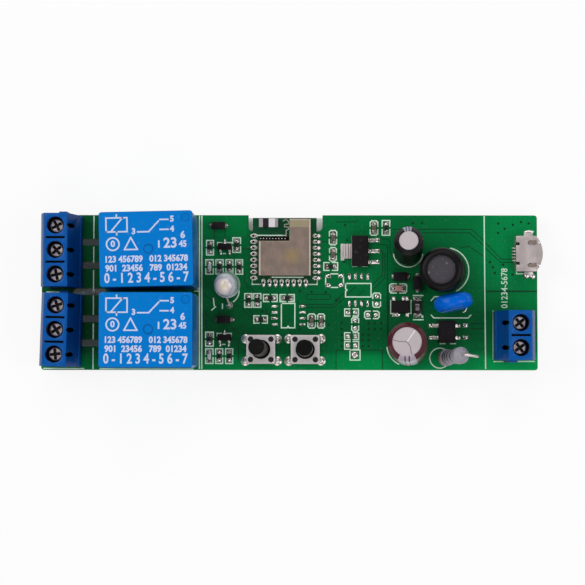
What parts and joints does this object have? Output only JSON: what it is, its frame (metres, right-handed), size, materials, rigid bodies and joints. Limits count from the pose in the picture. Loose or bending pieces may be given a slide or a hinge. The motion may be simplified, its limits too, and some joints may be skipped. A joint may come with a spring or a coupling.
{
  "type": "smart relay module",
  "caption": "Bare circuit board with a wireless module, relays in blue cases, blue screw terminals, push buttons, a micro socket and its own mains supply.",
  "frame": {"origin": "centre of the circuit board on its underside", "axes": "+X along the board towards the supply terminal and the micro socket, +Y across it towards the antenna edge, +Z out of the component side"},
  "size_m": [0.1049, 0.0326, 0.0188],
  "materials": {
    "board": "green solder mask over glass fibre laminate, half gloss",
    "blue_housing": "blue moulded nylon, satin",
    "relay_case": "light blue moulded case, half gloss",
    "relay_base": "black moulded base",
    "bobbin": "off-white moulded bobbin",
    "winding": "copper wire under varnish",
    "iron": "zinc plated iron",
    "contact": "copper alloy strip with silver contacts",
    "tinned": "tinned copper alloy",
    "steel": "nickel plated steel",
    "black_plastic": "black moulded plastic",
    "package": "black moulded package with tinned leads",
    "module_board": "dark green solder mask",
    "shield": "nickel silver sheet",
    "ceramic": "white ceramic block with a black half",
    "chip_black": "black film on a ceramic chip with tinned ends",
    "chip_brown": "brown ceramic chip with tinned ends",
    "lamp": "pale chip lamp with tinned ends",
    "red_sleeve": "dark red printed sleeve on an aluminium can",
    "black_sleeve": "black shrink sleeve on an aluminium can",
    "coil_sleeve": "black shrink sleeve on a ferrite drum",
    "disc": "blue dipped epoxy, gloss",
    "resistor": "grey lilac lacquer with colour bands",
    "led": "milky white epoxy lens"
  },
  "bodies": {
    "board": {"bridge_rectifier": "package", "button_1_dome": "steel", "button_2_dome": "steel", "button_bases": "black_plastic", "button_covers": "steel", "chip_antenna": "ceramic", "chip_capacitors": "chip_brown", "chip_leds": "lamp", "chip_resistors": "chip_black", "circuit_board": "board", "diodes": "package", "driver_transistors": "package", "fusible_resistor": "resistor", "input_capacitor": "red_sleeve", "output_capacitor": "black_sleeve", "power_chip": "package", "power_inductor": "coil_sleeve", "relay_1_cover": "relay_case", "relay_1_iron_frame": "iron", "relay_2_cover": "relay_case", "relay_2_iron_frame": "iron", "relay_bases": "relay_base", "relay_bobbins": "bobbin", "relay_terminal_1_housing": "blue_housing", "relay_terminal_2_housing": "blue_housing", "relay_terminals": "tinned", "relay_windings": "winding", "status_led": "led", "supply_terminal_housing": "blue_housing", "terminal_pins": "tinned", "usb_shell": "steel", "usb_tongue": "black_plastic", "varistor_disc": "disc", "voltage_regulator": "package", "wifi_board": "module_board", "wifi_chips": "package", "wifi_shield": "shield"},
    "clamp_screw_1": {"clamp_screw_1": "steel"},
    "clamp_cage_1": {"clamp_cage_1": "steel"},
    "clamp_screw_2": {"clamp_screw_2": "steel"},
    "clamp_cage_2": {"clamp_cage_2": "steel"},
    "clamp_screw_3": {"clamp_screw_3": "steel"},
    "clamp_cage_3": {"clamp_cage_3": "steel"},
    "clamp_screw_4": {"clamp_screw_4": "steel"},
    "clamp_cage_4": {"clamp_cage_4": "steel"},
    "clamp_screw_5": {"clamp_screw_5": "steel"},
    "clamp_cage_5": {"clamp_cage_5": "steel"},
    "clamp_screw_6": {"clamp_screw_6": "steel"},
    "clamp_cage_6": {"clamp_cage_6": "steel"},
    "clamp_screw_7": {"clamp_screw_7": "steel"},
    "clamp_cage_7": {"clamp_cage_7": "steel"},
    "clamp_screw_8": {"clamp_screw_8": "steel"},
    "clamp_cage_8": {"clamp_cage_8": "steel"},
    "button_1_plunger": {"button_1_plunger": "black_plastic"},
    "button_2_plunger": {"button_2_plunger": "black_plastic"},
    "relay_1_armature": {"relay_1_armature": "iron", "relay_1_contact_spring": "contact"},
    "relay_2_armature": {"relay_2_armature": "iron", "relay_2_contact_spring": "contact"}
  },
  "joints": [
    {"name": "screw_turn_1", "type": "hinge", "parent": "board", "child": "clamp_screw_1", "pos_m": [-0.04772, 0.01332, 0.008], "axis": [0, 0, -1], "range_deg": [0, 1280.1]},
    {"name": "cage_lift_1", "type": "slide", "parent": "board", "child": "clamp_cage_1", "axis": [0, 0, 1], "range_m": [0, 0.0016]},
    {"name": "screw_turn_2", "type": "hinge", "parent": "board", "child": "clamp_screw_2", "pos_m": [-0.04772, 0.00832, 0.008], "axis": [0, 0, -1], "range_deg": [0, 1280.1]},
    {"name": "cage_lift_2", "type": "slide", "parent": "board", "child": "clamp_cage_2", "axis": [0, 0, 1], "range_m": [0, 0.0016]},
    {"name": "screw_turn_3", "type": "hinge", "parent": "board", "child": "clamp_screw_3", "pos_m": [-0.04772, 0.00332, 0.008], "axis": [0, 0, -1], "range_deg": [0, 1280.1]},
    {"name": "cage_lift_3", "type": "slide", "parent": "board", "child": "clamp_cage_3", "axis": [0, 0, 1], "range_m": [0, 0.0016]},
    {"name": "screw_turn_4", "type": "hinge", "parent": "board", "child": "clamp_screw_4", "pos_m": [-0.04757, -0.00297, 0.008], "axis": [0, 0, -1], "range_deg": [0, 1280.1]},
    {"name": "cage_lift_4", "type": "slide", "parent": "board", "child": "clamp_cage_4", "axis": [0, 0, 1], "range_m": [0, 0.0016]},
    {"name": "screw_turn_5", "type": "hinge", "parent": "board", "child": "clamp_screw_5", "pos_m": [-0.04771, -0.00797, 0.008], "axis": [0, 0, -1], "range_deg": [0, 1280.1]},
    {"name": "cage_lift_5", "type": "slide", "parent": "board", "child": "clamp_cage_5", "axis": [0, 0, 1], "range_m": [0, 0.0016]},
    {"name": "screw_turn_6", "type": "hinge", "parent": "board", "child": "clamp_screw_6", "pos_m": [-0.04785, -0.01297, 0.008], "axis": [0, 0, -1], "range_deg": [0, 1280.1]},
    {"name": "cage_lift_6", "type": "slide", "parent": "board", "child": "clamp_cage_6", "axis": [0, 0, 1], "range_m": [0, 0.0016]},
    {"name": "screw_turn_7", "type": "hinge", "parent": "board", "child": "clamp_screw_7", "pos_m": [0.04705, -0.01157, 0.008], "axis": [0, 0, -1], "range_deg": [0, 1280.1]},
    {"name": "cage_lift_7", "type": "slide", "parent": "board", "child": "clamp_cage_7", "axis": [0, 0, 1], "range_m": [0, 0.0016]},
    {"name": "screw_turn_8", "type": "hinge", "parent": "board", "child": "clamp_screw_8", "pos_m": [0.04705, -0.00649, 0.008], "axis": [0, 0, -1], "range_deg": [0, 1280.1]},
    {"name": "cage_lift_8", "type": "slide", "parent": "board", "child": "clamp_cage_8", "axis": [0, 0, 1], "range_m": [0, 0.0016]},
    {"name": "button_1_press", "type": "slide", "parent": "board", "child": "button_1_plunger", "axis": [0.1457, -0.0859, -0.9856], "range_m": [0, 0.00025], "stiffness_N_per_m": 400, "springref_m": -0.001, "deforming": ["button_1_dome"]},
    {"name": "button_2_press", "type": "slide", "parent": "board", "child": "button_2_plunger", "axis": [0.0435, -0.0609, -0.9972], "range_m": [0, 0.00025], "stiffness_N_per_m": 400, "springref_m": -0.001, "deforming": ["button_2_dome"]},
    {"name": "relay_1_pull_in", "type": "hinge", "parent": "board", "child": "relay_1_armature", "pos_m": [-0.02164, 0.00826, 0.01225], "axis": [0.0227, -0.9997, 0], "range_deg": [0, 3], "stiffness_Nm_per_rad": 0.01, "springref_deg": -5.73},
    {"name": "relay_2_pull_in", "type": "hinge", "parent": "board", "child": "relay_2_armature", "pos_m": [-0.02164, -0.0081, 0.01225], "axis": [0, -1, 0], "range_deg": [0, 3], "stiffness_Nm_per_rad": 0.01, "springref_deg": -5.73}
  ],
  "couplings": [
    {"joint": "screw_turn_1", "follows": "cage_lift_1", "rad_per_m": 13963},
    {"joint": "screw_turn_2", "follows": "cage_lift_2", "rad_per_m": 13963},
    {"joint": "screw_turn_3", "follows": "cage_lift_3", "rad_per_m": 13963},
    {"joint": "screw_turn_4", "follows": "cage_lift_4", "rad_per_m": 13963},
    {"joint": "screw_turn_5", "follows": "cage_lift_5", "rad_per_m": 13963},
    {"joint": "screw_turn_6", "follows": "cage_lift_6", "rad_per_m": 13963},
    {"joint": "screw_turn_7", "follows": "cage_lift_7", "rad_per_m": 13963},
    {"joint": "screw_turn_8", "follows": "cage_lift_8", "rad_per_m": 13963}
  ]
}
